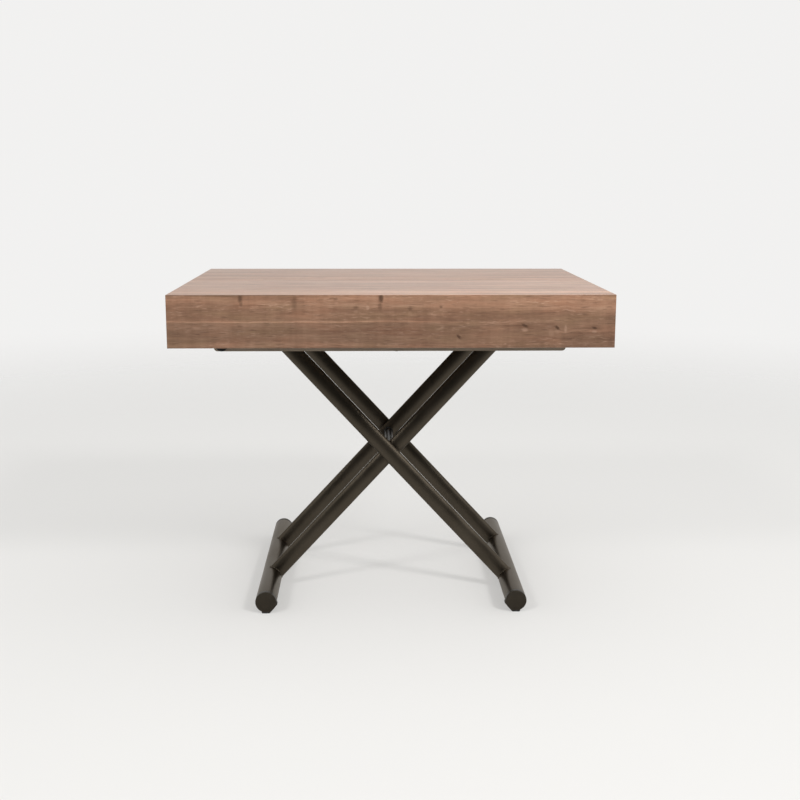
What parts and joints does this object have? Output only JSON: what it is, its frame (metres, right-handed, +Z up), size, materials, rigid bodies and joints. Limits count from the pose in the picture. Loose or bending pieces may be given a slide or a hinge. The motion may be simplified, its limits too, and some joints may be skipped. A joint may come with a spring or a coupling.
{
  "type": "convertible coffee dining table",
  "caption": "Boxed wood-look table top on a scissor-leg lift that goes from coffee to dining height; the top parts across the middle to take loose leaves stored inside.",
  "frame": {"origin": "on the floor, under the middle of the closed top, with the table at dining height", "axes": "+X along the long apron, to the right in the picture; +Y to the rear, the way the rear half of the top slides; +Z up"},
  "size_m": [1, 0.76, 0.768],
  "materials": {
    "oak_decor": "satin oak-look melamine, grain along X",
    "tray_board": "plain hardboard",
    "beech": "bare beech",
    "bronze_coat": "satin bronze-brown powder coat",
    "zinc_steel": "zinc plated",
    "slide_aluminium": "mill finish",
    "slider_nylon": "black nylon",
    "gas_paint": "black gloss paint",
    "gas_chrome": "hard chrome",
    "cap_plastic": "moulded, bronze-brown",
    "glide_rubber": "matt black",
    "black_plastic": "moulded black"
  },
  "bodies": {
    "underframe": {"front_rail": "bronze_coat", "rear_rail": "bronze_coat", "left_bearer": "bronze_coat", "right_bearer": "bronze_coat", "bearer_rivets": "zinc_steel", "centre_strap": "bronze_coat", "strap_screws": "zinc_steel", "left_runner": "slide_aluminium", "right_runner": "slide_aluminium", "runner_brackets": "bronze_coat", "storage_tray": "tray_board", "front_leaf": "oak_decor", "rear_leaf": "oak_decor", "upper_leaf": "oak_decor", "button_housing": "black_plastic"},
    "front_top": {"front_top_board": "oak_decor", "front_apron": "oak_decor", "front_left_apron": "oak_decor", "front_right_apron": "oak_decor", "front_left_slide_bar": "slide_aluminium", "front_right_slide_bar": "slide_aluminium", "front_slide_spacers": "slide_aluminium", "alignment_dowels": "beech"},
    "rear_top": {"rear_top_board": "oak_decor", "rear_apron": "oak_decor", "rear_left_apron": "oak_decor", "rear_right_apron": "oak_decor", "rear_left_slide_bar": "slide_aluminium", "rear_right_slide_bar": "slide_aluminium", "rear_slide_spacers": "slide_aluminium"},
    "left_carriage": {"left_sliders": "slider_nylon", "gas_rod": "gas_chrome"},
    "outer_frame": {"outer_arm_front": "bronze_coat", "outer_arm_rear": "bronze_coat", "outer_foot_tube": "bronze_coat", "outer_head_tube": "bronze_coat", "outer_head_axle": "zinc_steel", "pivot_shaft": "zinc_steel"},
    "inner_frame": {"inner_arm_front": "bronze_coat", "inner_arm_rear": "bronze_coat", "inner_foot_tube": "bronze_coat", "inner_head_tube": "bronze_coat", "inner_head_axle": "zinc_steel", "pivot_bushes": "slider_nylon"},
    "right_carriage": {"right_sliders": "slider_nylon", "gas_cylinder": "gas_paint"},
    "outer_feet": {"outer_cap_front": "cap_plastic", "outer_cap_rear": "cap_plastic", "outer_glides": "glide_rubber"},
    "inner_feet": {"inner_cap_front": "cap_plastic", "inner_cap_rear": "cap_plastic", "inner_glides": "glide_rubber"},
    "button": {"release_button": "black_plastic"}
  },
  "joints": [
    {"name": "lift", "type": "hinge", "parent": "outer_feet", "child": "outer_frame", "pos_m": [0.2995, 0, 0.0275], "axis": [0, -1, 0], "range_deg": [0, 37.28]},
    {"name": "scissor", "type": "hinge", "parent": "outer_frame", "child": "inner_frame", "pos_m": [0, 0, 0.35184], "axis": [0, 1, 0], "range_deg": [0, 74.66]},
    {"name": "inner_feet_level", "type": "hinge", "parent": "inner_frame", "child": "inner_feet", "pos_m": [-0.2995, 0, 0.0275], "axis": [0, -1, 0], "range_deg": [0, 37.38]},
    {"name": "right_carriage_level", "type": "hinge", "parent": "inner_frame", "child": "right_carriage", "pos_m": [0.25834, 0, 0.6316], "axis": [0, -1, 0], "range_deg": [0, 37.38]},
    {"name": "left_carriage_level", "type": "hinge", "parent": "outer_frame", "child": "left_carriage", "pos_m": [-0.25834, 0, 0.6316], "axis": [0, 1, 0], "range_deg": [0, 37.38]},
    {"name": "top_shift", "type": "slide", "parent": "left_carriage", "child": "underframe", "axis": [1, 0, 0], "range_m": [0, 0.1172]},
    {"name": "front_top_slide", "type": "slide", "parent": "underframe", "child": "front_top", "axis": [0, -1, 0], "range_m": [0, 0.507]},
    {"name": "rear_top_slide", "type": "slide", "parent": "underframe", "child": "rear_top", "axis": [0, 1, 0], "range_m": [0, 0.507]},
    {"name": "button_press", "type": "slide", "parent": "underframe", "child": "button", "axis": [0, 1, 0], "range_m": [0, 0.004], "stiffness_N_per_m": 1200, "springref_m": -0.002}
  ],
  "couplings": [
    {"joint": "scissor", "follows": "lift", "ratio": 2},
    {"joint": "inner_feet_level", "follows": "lift", "ratio": 1},
    {"joint": "right_carriage_level", "follows": "lift", "ratio": 1},
    {"joint": "left_carriage_level", "follows": "lift", "ratio": 1},
    {"joint": "top_shift", "follows": "lift", "m_per_rad": 0.17932}
  ]
}
